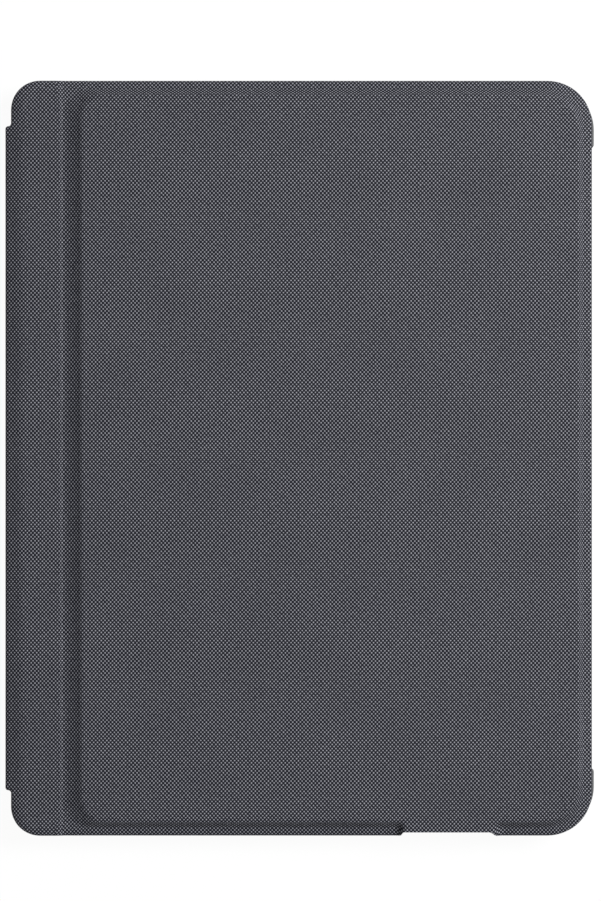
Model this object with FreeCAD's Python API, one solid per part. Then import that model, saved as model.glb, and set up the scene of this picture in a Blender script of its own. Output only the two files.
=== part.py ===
"""Folio keyboard case for a large tablet, lying closed on its back.

The keyboard cover is on top, its woven outside up. The spine is along the left (-X) edge.
X runs across the case, Y along the spine and Z up. The origin is under the middle of the case.
"""
import FreeCAD, Part
import math
import os

V = FreeCAD.Vector

# Tablet that the case is made for
tablet_length = 280.6
tablet_width = 214.9
tablet_thickness = 6.4
tablet_corner = 14.0
tablet_clearance = 0.2

# Sheet goods
fabric = 0.7
lining = 0.5
hem = 0.7

# Shell round the tablet
wall = 2.8
floor = 1.8
lip_height = 1.0
lip_width = 1.2
moulding_fit = 0.1
corner_stub = 7.0
sill_setback = 0.5
camera_window = 33.0
camera_corner = 9.0
camera_edge = 4.9
port_window_width = 16.0
port_window_height = 5.0
speaker_slot_width = 24.0
speaker_slot_height = 3.0
speaker_spacing = 150.0
button_width = 21.4
button_height = 3.0
button_from_edge = 25.0
button_proud = 0.4
button_travel = 0.5
button_gap = 0.3

# Kickstand and its two hinge units
stand_plate = 1.6
stand_reach = 85.4
stand_end_gap = 6.3
stand_corner = 3.0
stand_gap = 0.2
stand_side_gap = 0.4
foot_width = 1.4
thumb_radius = 9.0
thumb_depth = 5.0
hinge_offset = 1.2
hinge_room = 1.3
hinge_height = 0.8
barrel_radius = 0.8
pin_radius = 0.45
pin_grip = 0.02
pin_clearance = 0.05
leaf_thickness = 0.8
leaf_length = 12.0
knuckle_length = 10.0
bracket_knuckle = 6.7
knuckle_gap = 0.3
hinge_end_gap = 45.0

# Spine, hinge strip and anchor flap
spine_board_thickness = 1.0
spine_room = 3.1
spine_end_gap = 17.4
spine_board_margin = 2.0
fold_gap = 0.15
fold_height = 3.8
edge_curve = 20.0
edge_curve_width = 6.5
edge_round = 0.6
edge_round_height = 0.7
strip_width = 18.9
strip_raise = 1.0
strip_margin = 2.0
groove_width = 1.6
flap_reach = 26.9
flap_gap = 0.8
bar_margin = 1.2

# Keyboard cover
cover_gap = 0.4
cover_overhang = 1.7
bumper_proud = 0.9
cover_corner_left = 11.2
cover_corner_right = 17.0
flange = 0.6
tray_wall = 0.8
panel_raise = 3.0
rim_side = 3.0
rim_end = 2.9
slope_spine = 6.8
slope_side = 2.7
slope_end = 3.8
panel_corner_left = 8.0
panel_corner_right = 13.5
base_corner_growth = 1.0

# Port block at the notch in the cover's lower end
port_start = 149.8
notch_width = 36.8
notch_depth = 1.5
notch_end_left = 1.0
notch_end_right = 2.8
port_block_inset = 1.6
port_block_depth = 6.0
socket_width = 8.94
socket_height = 3.16
socket_wall = 0.3
socket_depth = 7.2
socket_centre = 19.3
socket_setback = 0.2
tongue_width = 6.7
tongue_thickness = 0.7
tongue_length = 4.6
light_radius = 0.7
light_length = 5.0
light_centre = 28.5
switch_centre = 7.6
switch_width = 3.2
switch_height = 1.5
switch_length = 4.0
switch_travel = 2.0
switch_gap = 0.3
grip_groove = 0.35

# Key frame and keys
frame_thickness = 0.9
frame_start = 2.9
frame_end = 6.3
frame_side = 9.0
frame_corner = 6.0
frame_fit = 0.2
keys_margin = 1.875
row_pitch = 18.0
function_pitch = 10.5
key_space = 2.6
key_rows_start = 13.4
key_height = 1.5
key_proud = 0.8
key_taper = 0.5
key_corner = 0.9
key_hole_gap = 0.3
membrane_thickness = 0.2
backplate_thickness = 0.8
plate_margin = 0.6
dome_base = 2.6
dome_tip = 1.5
lever_width = 1.0
lever_thickness = 0.5
lever_spread = 4.2
lever_length = 7.0

# Trackpad and what lies in the palm rest
pad_length = 108.0
pad_width = 62.0
pad_start = 8.6
pad_corner = 3.0
pad_gap = 0.3
pad_board_thickness = 0.65
pad_board_overhang = 1.2
pad_seat = 0.05
pad_travel = 0.3
pad_stop = 0.05
spring_leaf = 0.3
spring_width = 5.0
spring_length = 90.0
spring_foot = 5.0
spring_inset = 7.0
click_size = 6.0
cell_thickness = 2.0
cell_gap = 8.0
cell_board_gap = 3.0
cell_width = 60.0
board_thickness = 0.8
board_width = 44.0
board_length = 15.0
cable_thickness = 0.15
cable_width = 10.0
cable_lap = 6.0
magnet_width = 4.4
magnet_length = 20.0
magnet_thickness = 2.0
magnet_end_gap = 18.0
magnet_pad_gap = 4.8
screw_head = 1.4
screw_head_height = 0.6
screw_shank = 0.7
screw_fit = 0.03
screw_length = 2.3
boss_radius = 1.8
screw_end_gap = 26.0
screw_middle = 37.0
screw_pad_gap = 8.0
screw_magnet_gap = 5.0
screen_pad_radius = 2.0
screen_pad_height = 1.0
screen_pad_inset = 4.0

rod_sides = 8

# Heights, from the surface that the case lies on
z_plate = fabric
z_stand_top = z_plate + stand_plate
z_floor = z_stand_top + stand_gap
z_floor_top = z_floor + floor
z_pocket = z_floor_top + lining
z_lip = z_pocket + tablet_thickness
z_shell = z_lip + lip_height
z_cover = z_shell + cover_gap
z_flange = z_cover + lining
z_tray_rim = z_flange + flange
z_rim = z_tray_rim + fabric
z_strip = z_rim + strip_raise
z_panel = z_rim + panel_raise
z_tray_top = z_panel - fabric
z_roof = z_tray_top - tray_wall

# Places across the case, from the spine's outside to the bumper corners
spine_thickness = fabric + spine_board_thickness + lining
shell_width = tablet_width + 2 * tablet_clearance + 2 * wall
shell_length = tablet_length + 2 * tablet_clearance + 2 * wall
shell_corner = tablet_corner + wall + tablet_clearance
case_width = spine_thickness + spine_room + shell_width
x_spine = -case_width / 2
x_cover = x_spine + spine_thickness
x_shell = x_cover + spine_room
x_bumper = x_shell + shell_width
x_cover_end = x_bumper - bumper_proud
x_pocket = x_shell + wall
x_pocket_end = x_bumper - wall
x_strip_end = x_cover + strip_width
x_fold = x_strip_end + groove_width / 2
x_panel = x_fold + groove_width / 2
x_panel_end = x_cover_end - rim_side
y_shell = shell_length / 2
y_pocket = y_shell - wall
y_cover = y_shell + cover_overhang
y_panel = y_cover - rim_end
z_fold_low = fold_height
z_fold_high = z_panel - fold_height

os.makedirs("parts", exist_ok=True)


def save(name, *solids):
    """Write one node, as one solid or a group of separate solids."""
    shape = solids[0] if len(solids) == 1 else Part.makeCompound(list(solids))
    shape.exportStep("parts/" + name + ".step")


def box(x0, x1, y0, y1, z0, z1):
    return Part.makeBox(x1 - x0, y1 - y0, z1 - z0, V(x0, y0, z0))


def outline(x0, x1, half_y, z, r_left, r_right):
    """Closed wire of a rectangle with its own corner radius at the left and at the right."""
    corners = [(x1, half_y, r_right, 0), (x0, half_y, r_left, 90)]
    corners += [(x0, -half_y, r_left, 180), (x1, -half_y, r_right, 270)]
    edges = []
    first = last = None
    for x, y, r, turn in corners:
        cx = x - r if x == x1 else x + r
        cy = y - r if y > 0 else y + r
        points = []
        for angle in (turn, turn + 45, turn + 90):
            a = math.radians(angle)
            points.append(V(cx + r * math.cos(a), cy + r * math.sin(a), z))
        if last is not None:
            edges.append(Part.LineSegment(last, points[0]).toShape())
        if r > 0:
            edges.append(Part.Arc(*points).toShape())
        first = first or points[0]
        last = points[2]
    edges.append(Part.LineSegment(last, first).toShape())
    return Part.Wire(edges)


def plate(x0, x1, half_y, z0, z1, r_left=0.0, r_right=0.0):
    return Part.Face(outline(x0, x1, half_y, z0, r_left, r_right)).extrude(V(0, 0, z1 - z0))


def tablet_shape(z0, z1, inset=0.0):
    """Plate with the plan of the tablet pocket, drawn in by inset."""
    r = shell_corner - wall - inset
    return plate(x_pocket + inset, x_pocket_end - inset, y_pocket - inset, z0, z1, r, r)


def rounded_block(cx, cy, size_x, size_y, z0, z1, radius):
    shape = plate(-size_x / 2, size_x / 2, size_y / 2, z0, z1, radius, radius)
    shape.translate(V(cx, cy, 0))
    return shape


def faceted_rod(x, y, z, radius, height):
    """Upright rod with flat sides, for small screws, bosses and pads."""
    turns = [2 * math.pi * n / rod_sides for n in range(rod_sides + 1)]
    ring = Part.makePolygon([V(x + radius * math.cos(t), y + radius * math.sin(t), z) for t in turns])
    return Part.Face(ring).extrude(V(0, 0, height))


def rod_y(x, z, radius, y0, y1):
    return Part.makeCylinder(radius, y1 - y0, V(x, y0, z), V(0, 1, 0))


def side_profile(edges, half_y):
    """Prism along Y from a closed row of edges in the XZ plane."""
    face = Part.Face(Part.Wire(edges))
    shape = face.extrude(V(0, 2 * half_y, 0))
    shape.translate(V(0, -half_y, 0))
    return shape


def line(a, b):
    return Part.LineSegment(V(a[0], 0, a[1]), V(b[0], 0, b[1])).toShape()


def arc(a, middle, b):
    points = [V(p[0], 0, p[1]) for p in (a, middle, b)]
    return Part.Arc(*points).toShape()


def edge_drop(reach):
    """How far the soft curve of the folded edge has fallen at a distance from its start."""
    return edge_curve - math.sqrt(edge_curve ** 2 - reach ** 2)


# Shell: rigid back, soft bumper frame, pocket lining and fabric on the upper back
x_flap_end = x_cover + flap_reach
x_stand = x_flap_end + flap_gap
x_stand_end = x_stand + stand_reach
x_hinge = x_stand_end + hinge_offset
x_back = x_hinge + hinge_room
z_hinge = z_plate + hinge_height
y_stand = y_shell - stand_end_gap
y_recess = y_stand + stand_side_gap
hinge_places = (hinge_end_gap - y_stand, y_stand - hinge_end_gap)
unit_half = knuckle_length / 2 + knuckle_gap + bracket_knuckle

camera_x = x_pocket_end - camera_edge - camera_window / 2
camera_y = y_pocket - camera_edge - camera_window / 2


def camera_hole(z0, z1):
    return rounded_block(camera_x, camera_y, camera_window, camera_window, z0, z1, camera_corner)


back = tablet_shape(z_plate, z_floor_top, moulding_fit)
back = back.cut(box(x_pocket - wall, x_back, -y_recess, y_recess, z_plate, z_floor))
back = back.cut(camera_hole(z_plate, z_floor_top))
for y in hinge_places:
    pocket = box(x_back, x_hinge + leaf_length, y - unit_half, y + unit_half,
                 z_plate, z_hinge + leaf_thickness)
    back = back.cut(pocket)
save("shell_back", back)

x_port = (x_pocket + x_pocket_end) / 2
z_port = z_pocket + tablet_thickness / 2
x_button = x_pocket_end - button_from_edge
frame = plate(x_shell, x_bumper, y_shell, z_plate, z_shell, shell_corner, shell_corner)
frame = frame.cut(tablet_shape(z_plate, z_lip))
frame = frame.cut(tablet_shape(z_lip, z_shell, lip_width))
half_opening = y_shell - shell_corner - corner_stub
frame = frame.cut(box(x_pocket_end - lip_width, x_bumper, -half_opening, half_opening,
                      z_floor_top, z_shell))
frame = frame.cut(box(x_cover_end - sill_setback, x_bumper, -half_opening, half_opening,
                      z_plate, z_shell))
frame = frame.cut(box(x_port - port_window_width / 2, x_port + port_window_width / 2,
                      -y_shell, -y_pocket, z_port - port_window_height / 2,
                      z_port + port_window_height / 2))
slot_half = button_width / 2 + button_gap
slot_height = button_height / 2 + button_gap
frame = frame.cut(box(x_button - slot_half, x_button + slot_half, y_pocket, y_shell,
                      z_port - slot_height, z_port + slot_height))
for x in (x_port - speaker_spacing / 2, x_port + speaker_spacing / 2):
    for y0 in (-y_shell, y_pocket):
        if y0 > 0 and x > x_port:
            continue
        frame = frame.cut(box(x - speaker_slot_width / 2, x + speaker_slot_width / 2, y0, y0 + wall,
                              z_port - speaker_slot_height / 2, z_port + speaker_slot_height / 2))
# The bumper is one moulding. It is written as flush blocks, so that the pocket and windows stay open
x_left = x_shell + shell_corner
x_right = x_bumper - shell_corner
y_side = y_shell - shell_corner
port_left = x_port - port_window_width / 2
port_right = x_port + port_window_width / 2
port_low = z_port - port_window_height / 2
port_high = z_port + port_window_height / 2
blocks = [(x_left, port_left, -y_shell, -y_side, z_plate, z_lip)]
blocks.append((port_right, x_right, -y_shell, -y_side, z_plate, z_lip))
blocks.append((port_left, port_right, -y_shell, -y_side, z_plate, port_low))
blocks.append((port_left, port_right, -y_shell, -y_side, port_high, z_lip))
blocks.append((x_left, x_right, -y_shell, -y_side, z_lip, z_shell))
blocks.append((x_right, x_bumper, -half_opening, half_opening, z_plate, z_lip))
for z0, z1 in ((z_plate, z_lip), (z_lip, z_shell)):
    blocks.append((x_left, x_right, y_side, y_shell, z0, z1))
    blocks.append((x_shell, x_left, -y_side, y_side, z0, z1))
    for y0, y1 in ((-y_shell, -y_side), (y_side, y_shell)):
        blocks.append((x_shell, x_left, y0, y1, z0, z1))
        blocks.append((x_right, x_bumper, y0, y1, z0, z1))
    blocks.append((x_right, x_bumper, -y_side, -half_opening, z0, z1))
    blocks.append((x_right, x_bumper, half_opening, y_side, z0, z1))
bumper = []
for block in blocks:
    bumper += frame.common(box(*block)).Solids
save("bumper_frame", *bumper)

button = plate(-button_width / 2, button_width / 2, button_height / 2, 0,
               wall - 2 * button_travel + button_proud, button_height / 3, button_height / 3)
button.rotate(V(0, 0, 0), V(1, 0, 0), 90)
button.translate(V(x_button, y_shell + button_proud, z_port))
save("power_button", button)

pocket_sheet = tablet_shape(z_floor_top, z_pocket, moulding_fit)
save("pocket_lining", pocket_sheet.cut(camera_hole(z_floor_top, z_pocket)))

back_corner = shell_corner - wall - hem
back_sheet = plate(x_back, x_pocket_end - hem, y_pocket - hem, 0, fabric, 0, back_corner)
save("upper_back_fabric", back_sheet.cut(camera_hole(0, fabric)))

# Kickstand: stiff plate, fabric outside, rubber foot along the free edge, two hinge units
thumb = Part.makeCylinder(thumb_radius, z_stand_top, V(x_stand - thumb_radius + thumb_depth, 0, 0))
x_plate = x_stand + foot_width
stand = plate(x_plate, x_stand_end, y_stand, z_plate, z_stand_top).cut(thumb)
for y in hinge_places:
    stand = stand.cut(box(x_hinge - leaf_length, x_stand_end, y - knuckle_length / 2,
                          y + knuckle_length / 2, z_hinge, z_stand_top))
save("kickstand_plate", stand)
stand_sheet = plate(x_stand, x_stand_end, y_stand, 0, fabric, stand_corner, 0)
save("kickstand_fabric", stand_sheet.cut(thumb))
foot = plate(x_stand, x_plate, y_stand - stand_corner, z_plate, z_stand_top).cut(thumb)
save("kickstand_foot", *foot.Solids)

leaves = []
brackets = []
pins = []
for y in hinge_places:
    half = knuckle_length / 2
    leaf = box(x_hinge - leaf_length, x_hinge, y - half, y + half, z_hinge, z_hinge + leaf_thickness)
    leaf = leaf.fuse(rod_y(x_hinge, z_hinge, barrel_radius, y - half, y + half)).removeSplitter()
    leaves.append(leaf.cut(rod_y(x_hinge, z_hinge, pin_radius + pin_clearance, y - half, y + half)))
    bracket = box(x_back, x_hinge + leaf_length, y - unit_half, y + unit_half,
                  z_hinge, z_hinge + leaf_thickness)
    for y0 in (y - unit_half, y + half + knuckle_gap):
        y1 = y0 + bracket_knuckle
        bracket = bracket.fuse(box(x_hinge, x_back, y0, y1, z_hinge, z_hinge + leaf_thickness))
        bracket = bracket.fuse(rod_y(x_hinge, z_hinge, barrel_radius, y0, y1))
    bore = rod_y(x_hinge, z_hinge, pin_radius + pin_grip, y - unit_half, y + unit_half)
    brackets.append(bracket.removeSplitter().cut(bore))
    pins.append(rod_y(x_hinge, z_hinge, pin_radius, y - unit_half, y + unit_half))
save("hinge_leaves", *leaves)
save("hinge_brackets", *brackets)
save("hinge_pins", *pins)

# Anchor flap: the cover's fabric carried round the spine and bonded to the shell's back
x_curve = x_spine + edge_curve_width
half_spine = y_cover - spine_end_gap
step = spine_thickness / 2


def bulge_outline(z0, z1, x_right, half_y, corner):
    """Plan of the cover's spine side: rounded corners, and the spine standing out between them."""
    def point(x, y):
        return V(x, y, z0)

    r = corner
    diagonal = math.sqrt(0.5)
    upper = [
        Part.LineSegment(point(x_right, half_y), point(x_cover + r, half_y)),
        Part.Arc(point(x_cover + r, half_y),
                 point(x_cover + r - r * diagonal, half_y - r + r * diagonal),
                 point(x_cover, half_y - r)),
        Part.LineSegment(point(x_cover, half_y - r), point(x_cover, half_spine + step)),
        Part.Arc(point(x_cover, half_spine + step),
                 point(x_cover - step + step * diagonal, half_spine + step - step * diagonal),
                 point(x_cover - step, half_spine)),
        Part.Arc(point(x_cover - step, half_spine),
                 point(x_spine + step - step * diagonal, half_spine - step + step * diagonal),
                 point(x_spine, half_spine - step)),
    ]
    edges = [piece.toShape() for piece in upper]
    lower = [edge.mirror(V(0, 0, 0), V(0, 1, 0)) for edge in edges]
    edges.append(Part.LineSegment(point(x_spine, half_spine - step),
                                  point(x_spine, step - half_spine)).toShape())
    edges.append(Part.LineSegment(point(x_right, -half_y), point(x_right, half_y)).toShape())
    wire = Part.Wire(Part.__sortEdges__(edges + lower))
    return Part.Face(wire).extrude(V(0, 0, z1 - z0))


x_turn = x_spine + edge_round
z_turn = edge_drop(edge_curve_width - edge_round)
z_turn_end = z_turn + edge_round_height
x_inside = x_spine + fabric
z_low_end = z_fold_low - fold_gap
flap_edges = [
    line((x_flap_end, 0), (x_curve, 0)),
    arc((x_curve, 0), (x_spine + edge_curve_width / 2, edge_drop(edge_curve_width / 2)),
        (x_turn, z_turn)),
    arc((x_turn, z_turn), (x_spine + edge_round / 4, z_turn + edge_round / 2),
        (x_spine, z_turn_end)),
    line((x_spine, z_turn_end), (x_spine, z_low_end)),
    line((x_spine, z_low_end), (x_inside, z_low_end)),
    line((x_inside, z_low_end), (x_inside, z_turn_end + fabric / 2)),
    line((x_inside, z_turn_end + fabric / 2), (x_shell - fabric, fabric)),
    line((x_shell - fabric, fabric), (x_flap_end, fabric)),
    line((x_flap_end, fabric), (x_flap_end, 0)),
]
save("anchor_flap_fabric", side_profile(flap_edges, half_spine - step))
save("anchor_bar", box(x_pocket + moulding_fit + bar_margin, x_flap_end - bar_margin,
                       spine_board_margin - half_spine, half_spine - spine_board_margin,
                       z_plate, z_floor))

# Spine: fabric, stiff board and lining between the two folds
z_spine = z_fold_low + fold_gap
z_spine_end = z_fold_high - fold_gap
x_board = x_spine + fabric
x_lining = x_board + spine_board_thickness
half_board = half_spine - spine_board_margin
save("spine_fabric", plate(x_spine, x_board, half_spine - step, z_spine, z_spine_end))
save("spine_board", plate(x_board, x_lining, half_board, z_spine, z_spine_end))
save("spine_lining", plate(x_lining, x_cover, half_board, z_spine, z_spine_end))

# Hinge strip: a stiffened band of the cover between the spine and the groove
x_strip_side = x_cover + moulding_fit * 2
x_web = x_fold - fold_gap
z_wrap = z_fold_high + fold_gap
strip_edges = [
    line((x_web, z_cover), (x_web, z_rim)),
    line((x_web, z_rim), (x_strip_end, z_rim)),
    line((x_strip_end, z_rim), (x_strip_end - edge_round, z_strip)),
    line((x_strip_end - edge_round, z_strip), (x_curve, z_strip)),
    arc((x_curve, z_strip),
        (x_spine + edge_curve_width / 2, z_strip - edge_drop(edge_curve_width / 2)),
        (x_turn, z_strip - z_turn)),
    arc((x_turn, z_strip - z_turn), (x_spine + edge_round / 4, z_strip - z_turn - edge_round / 2),
        (x_spine, z_wrap)),
    line((x_spine, z_wrap), (x_strip_side, z_wrap)),
    line((x_strip_side, z_wrap), (x_strip_side, z_cover)),
    line((x_strip_side, z_cover), (x_web, z_cover)),
]
strip = side_profile(strip_edges, y_cover)
strip = strip.common(bulge_outline(z_cover, z_strip, x_web, y_cover, cover_corner_left))
strip_corner = cover_corner_left - strip_margin
strip_core = plate(x_cover + strip_margin, x_strip_end - strip_margin / 2, y_cover - strip_margin,
                   z_cover, z_strip - fabric, strip_corner, 0)
save("strip_fabric", strip.cut(strip_core))
save("strip_lining", strip_core.common(box(x_cover, x_fold, -y_cover, y_cover, z_cover, z_flange)))
save("strip_board", strip_core.common(box(x_cover, x_fold, -y_cover, y_cover, z_flange, z_strip)))


def panel(shift):
    """The raised keyboard panel with its sloped sides, lowered by shift."""
    base = outline(x_panel, x_panel_end, y_panel, z_rim - shift,
                   panel_corner_left + base_corner_growth, panel_corner_right + base_corner_growth)
    top = outline(x_panel + slope_spine, x_panel_end - slope_side, y_panel - slope_end,
                  z_panel - shift, panel_corner_left, panel_corner_right)
    return Part.makeLoft([base, top], True, True)


# Keyboard cover: fabric formed over a moulded tray, with a lining round the key frame
x_deck = x_fold + fold_gap
x_notch = x_cover + port_start
x_notch_end = x_notch + notch_width
y_notch = notch_depth - y_cover
y_block = y_notch + port_block_depth


def port_block(shift, bottom):
    """Block that carries the panel's top out to the notch, with sloped ends, lowered by shift."""
    x0 = x_notch - port_block_inset
    x1 = x_notch_end + port_block_inset
    corners = [(x0, z_rim - shift), (x0 + panel_raise, z_panel - shift),
               (x1 - panel_raise, z_panel - shift), (x1, z_rim - shift), (x1, bottom), (x0, bottom)]
    edges = [line(a, b) for a, b in zip(corners, corners[1:] + corners[:1])]
    face = Part.Face(Part.Wire(edges))
    prism = face.extrude(V(0, y_block - y_notch, 0))
    prism.translate(V(0, y_notch, 0))
    return prism


notch_plan = [V(x_notch, -y_cover, z_cover), V(x_notch + notch_end_left, y_notch, z_cover),
              V(x_notch_end - notch_end_right, y_notch, z_cover), V(x_notch_end, -y_cover, z_cover)]
notch = Part.Face(Part.makePolygon(notch_plan + notch_plan[:1])).extrude(V(0, 0, panel_raise))

inner_corner = cover_corner_right - hem
outer_deck = plate(x_deck, x_cover_end, y_cover, z_cover, z_rim, 0, cover_corner_right)
outer_deck = outer_deck.fuse(panel(0)).fuse(port_block(0, z_cover)).cut(notch)
inner_plate = plate(x_deck + hem, x_cover_end - hem, y_cover - hem, z_cover, z_tray_rim, 0, inner_corner)
inner_deck = inner_plate.fuse(panel(fabric)).fuse(port_block(fabric, z_cover)).cut(notch)
save("deck_fabric", outer_deck.cut(inner_deck).removeSplitter())

x_frame = x_panel + frame_start
x_frame_end = x_panel_end - frame_end
y_frame = y_cover - frame_side
lining_ring = plate(x_deck + hem, x_cover_end - hem, y_cover - hem, z_cover, z_flange, 0, inner_corner)
lining_ring = lining_ring.cut(notch)
lining_ring = lining_ring.cut(plate(x_frame - frame_fit, x_frame_end + frame_fit, y_frame + frame_fit,
                                    z_cover, z_flange, frame_corner, frame_corner))
save("deck_lining", lining_ring)

above_lining = box(x_spine, x_bumper, -y_cover, y_cover, z_flange, z_panel)
tray = inner_deck.common(above_lining).cut(panel(fabric + tray_wall))

# Port block fittings: charging socket, status light and slide switch
x_socket = x_notch + socket_centre
z_socket = (z_flange + z_tray_top) / 2 - moulding_fit
y_socket = y_notch + socket_setback
y_socket_end = y_socket + socket_depth


def socket_tube(width, height, y0, y1):
    tube = plate(-width / 2, width / 2, height / 2, 0, y1 - y0, height / 2.2, height / 2.2)
    tube.rotate(V(0, 0, 0), V(1, 0, 0), -90)
    tube.translate(V(x_socket, y0, z_socket))
    return tube


tray = tray.cut(socket_tube(socket_width + 2 * moulding_fit, socket_height + 2 * moulding_fit,
                            y_notch, y_socket_end))
socket = socket_tube(socket_width, socket_height, y_socket, y_socket_end)
hollow_end = y_socket_end - socket_wall
socket = socket.cut(socket_tube(socket_width - 2 * socket_wall, socket_height - 2 * socket_wall,
                                y_socket, hollow_end))
tongue = box(x_socket - tongue_width / 2, x_socket + tongue_width / 2, hollow_end - tongue_length,
             hollow_end, z_socket - tongue_thickness / 2, z_socket + tongue_thickness / 2)
save("usb_c_socket", socket.fuse(tongue).removeSplitter())

x_light = x_notch + light_centre
tray = tray.cut(Part.makeCylinder(light_radius + moulding_fit / 2, light_length,
                                  V(x_light, y_notch, z_socket), V(0, 1, 0)))
save("status_light", Part.makeCylinder(light_radius, light_length,
                                       V(x_light, y_notch, z_socket), V(0, 1, 0)))

x_switch = x_notch + switch_centre
switch_slot = box(x_switch - switch_width / 2 - switch_gap,
                  x_switch + switch_width / 2 + switch_gap + switch_travel, y_notch,
                  y_notch + switch_length + switch_gap, z_socket - switch_height / 2 - switch_gap,
                  z_socket + switch_height / 2 + switch_gap)
tray = tray.cut(switch_slot)
slider = box(x_switch - switch_width / 2, x_switch + switch_width / 2, y_notch + switch_gap,
             y_notch + switch_length, z_socket - switch_height / 2, z_socket + switch_height / 2)
for n in (-1, 0, 1):
    x_groove = x_switch + n * switch_width / 4
    y_groove = y_notch + switch_gap
    slider = slider.cut(box(x_groove - grip_groove / 2, x_groove + grip_groove / 2, y_groove,
                            y_groove + grip_groove, z_socket - switch_height / 2,
                            z_socket + switch_height / 2))
save("power_switch", slider)

# Screws through the key frame into bosses under the tray's roof
x_keys = x_panel + key_rows_start
x_keys_end = x_keys + function_pitch + 5 * row_pitch
x_pad = x_keys_end + pad_start
z_frame = z_cover + frame_thickness
x_screw_top = x_keys - boss_radius - plate_margin * 2
x_screw_mid = (x_keys_end + x_pad) / 2
x_screw_low = x_frame_end - boss_radius * 2
y_screw_end = y_frame - screw_end_gap
pad_board_reach = pad_length / 2 + pad_board_overhang
y_magnet_pad = pad_board_reach + magnet_pad_gap + magnet_length / 2
y_screw_mid = pad_length / 2 + screw_pad_gap
y_screw_low = y_magnet_pad + magnet_length / 2 + screw_magnet_gap
screw_top_places = (-y_screw_end, -screw_middle, screw_middle, y_screw_end)
screw_places = [(x_screw_top, y) for y in screw_top_places]
screw_places += [(x_screw_mid, y) for y in (-y_screw_mid, y_screw_mid)]
screw_places += [(x_screw_low, y) for y in (-y_screw_low, y_screw_low)]
z_head = z_cover + screw_head_height
screws = []
screw_holes = []
for x, y in screw_places:
    boss = faceted_rod(x, y, z_frame, boss_radius, z_roof - z_frame)
    hole = faceted_rod(x, y, z_cover, screw_shank + screw_fit, z_head + screw_length - z_cover)
    tray = tray.fuse(boss).cut(hole)
    head = faceted_rod(x, y, z_cover, screw_head, screw_head_height)
    shank = faceted_rod(x, y, z_head, screw_shank, screw_length)
    screws.append(head.fuse(shank))
    screw_holes.append(hole)
    screw_holes.append(faceted_rod(x, y, z_cover, screw_head + screw_fit, screw_head_height))
save("deck_screws", *screws)
save("deck_tray", tray.removeSplitter())

# Keys: rows across the board, each key as (row, widths) in key units from the user's left (+Y)
row_widths = {
    "function_keys": [14.5 / 14] * 14,
    "number_keys": [1.0] * 13 + [1.5],
    "upper_letter_keys": [1.5] + [1.0] * 13,
    "home_keys": [1.75] + [1.0] * 11 + [1.75],
    "lower_letter_keys": [2.25] + [1.0] * 10 + [2.25],
}
bottom_widths = [1.0, 1.0, 1.0, 1.25, 5.0, 1.25, 1.0]
space_index = 4
arrow_widths = [1.0, 1.0, 1.0]
y_keys = y_frame - keys_margin
key_unit = 2 * y_keys / sum(row_widths["number_keys"])
z_key = z_cover - key_proud
z_key_end = z_key + key_height
z_back = z_roof - backplate_thickness
z_membrane = z_back - membrane_thickness

key_groups = {}


def add_key(group, x0, depth, y_top, width):
    """Note one key's place: its near and far edges across the row, and its span along the row."""
    gap = key_space / 2
    key_groups.setdefault(group, []).append((x0 + gap, x0 + depth - gap, y_top - width + gap, y_top - gap))


x_row = x_keys
for group, widths in row_widths.items():
    depth = function_pitch if group == "function_keys" else row_pitch
    y_top = y_keys
    for width in widths:
        add_key(group, x_row, depth, y_top, width * key_unit)
        y_top -= width * key_unit
    x_row += depth
y_top = y_keys
for index, width in enumerate(bottom_widths):
    group = "space_bar" if index == space_index else "modifier_keys"
    add_key(group, x_row, row_pitch, y_top, width * key_unit)
    y_top -= width * key_unit
half_row = row_pitch / 2
for index, width in enumerate(arrow_widths):
    add_key("arrow_keys", x_row + half_row, half_row, y_top, width * key_unit)
    if index == 1:
        add_key("arrow_keys", x_row, half_row, y_top, width * key_unit)
    y_top -= width * key_unit


def keycap(x0, x1, y0, y1):
    """Low tapered cap with cut corners, its face down while the case is closed."""
    def ring(inset, z):
        xa, xb, ya, yb = x0 + inset, x1 - inset, y0 + inset, y1 - inset
        c = key_corner
        points = [(xa + c, ya), (xb - c, ya), (xb, ya + c), (xb, yb - c),
                  (xb - c, yb), (xa + c, yb), (xa, yb - c), (xa, ya + c), (xa + c, ya)]
        return Part.makePolygon([V(x, y, z) for x, y in points])

    return Part.makeLoft([ring(key_taper, z_key), ring(0, z_key_end)], True, True)


def key_support(x0, x1, y0, y1):
    """Rubber dome and the two scissor levers between a cap and the membrane."""
    cx = (x0 + x1) / 2
    cy = (y0 + y1) / 2
    reach = min(lever_length, x1 - x0 - 2 * key_taper) / 2
    narrow = min(dome_base, reach)
    z_low = z_key_end
    tip = dome_tip * narrow / dome_base
    dome = Part.makeWedge(-narrow, 0, -narrow, -tip, -tip, narrow, z_membrane - z_low, narrow, tip, tip)
    dome.rotate(V(0, 0, 0), V(1, 0, 0), -90)
    dome.translate(V(cx, cy, z_membrane))
    pieces = [dome]
    z_lever = (z_low + z_membrane - lever_thickness) / 2
    for side in (-1, 1):
        y = cy + side * lever_spread
        lever = box(-reach, reach, -lever_width / 2, lever_width / 2, 0, lever_thickness)
        tilt = math.degrees(math.atan2(z_membrane - z_low - lever_thickness, 2 * reach))
        lever.rotate(V(0, 0, lever_thickness / 2), V(0, 1, 0), side * tilt * 0.9)
        lever.translate(V(cx, y, z_lever))
        pieces.append(lever)
    return pieces


key_holes = []
for group, places in key_groups.items():
    caps = []
    supports = []
    for x0, x1, y0, y1 in places:
        caps.append(keycap(x0, x1, y0, y1))
        supports += key_support(x0, x1, y0, y1)
        key_holes.append(box(x0 - key_hole_gap, x1 + key_hole_gap, y0 - key_hole_gap, y1 + key_hole_gap,
                             z_cover, z_frame))
    save(group, *caps)
    save(group.replace("_keys", "").replace("_bar", "") + "_supports", *supports)

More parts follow.
